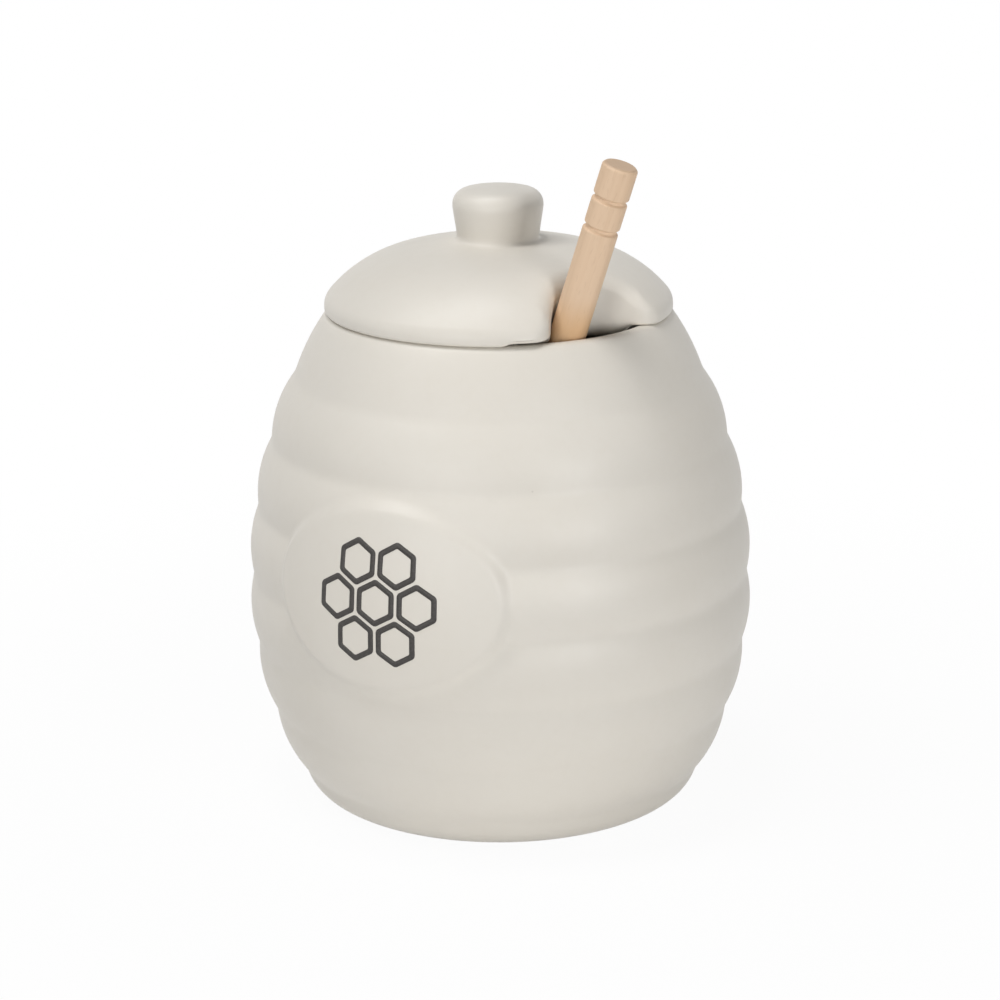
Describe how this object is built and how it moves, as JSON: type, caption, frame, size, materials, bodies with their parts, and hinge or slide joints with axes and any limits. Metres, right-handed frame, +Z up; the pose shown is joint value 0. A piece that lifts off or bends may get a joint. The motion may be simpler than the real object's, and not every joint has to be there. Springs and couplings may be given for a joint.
{
  "type": "honey pot",
  "caption": "Beehive-shaped ribbed stoneware honey pot with a raised oval plaque, a loose domed lid notched for a handle, and a turned wooden dipper that stands in it.",
  "frame": {"origin": "centre of the pot's flat foot, on the pot's axis", "axes": "+Z up along the pot's axis, the oval plaque faces -Y, the dipper leans towards +X"},
  "size_m": [0.1198, 0.1214, 0.1581],
  "materials": {
    "stoneware": "matt off-white glaze",
    "beech": "bare turned beech"
  },
  "bodies": {
    "pot": {"pot": "stoneware"},
    "lid": {"lid": "stoneware"},
    "dipper": {"dipper": "beech"}
  },
  "joints": [
    {"name": "lid_lift", "type": "slide", "parent": "pot", "child": "lid", "axis": [0, 0, 1], "range_m": [0, 0.08]},
    {"name": "dipper_lift", "type": "slide", "parent": "pot", "child": "dipper", "axis": [0.3123, 0, 0.95], "range_m": [0, 0.05]}
  ]
}
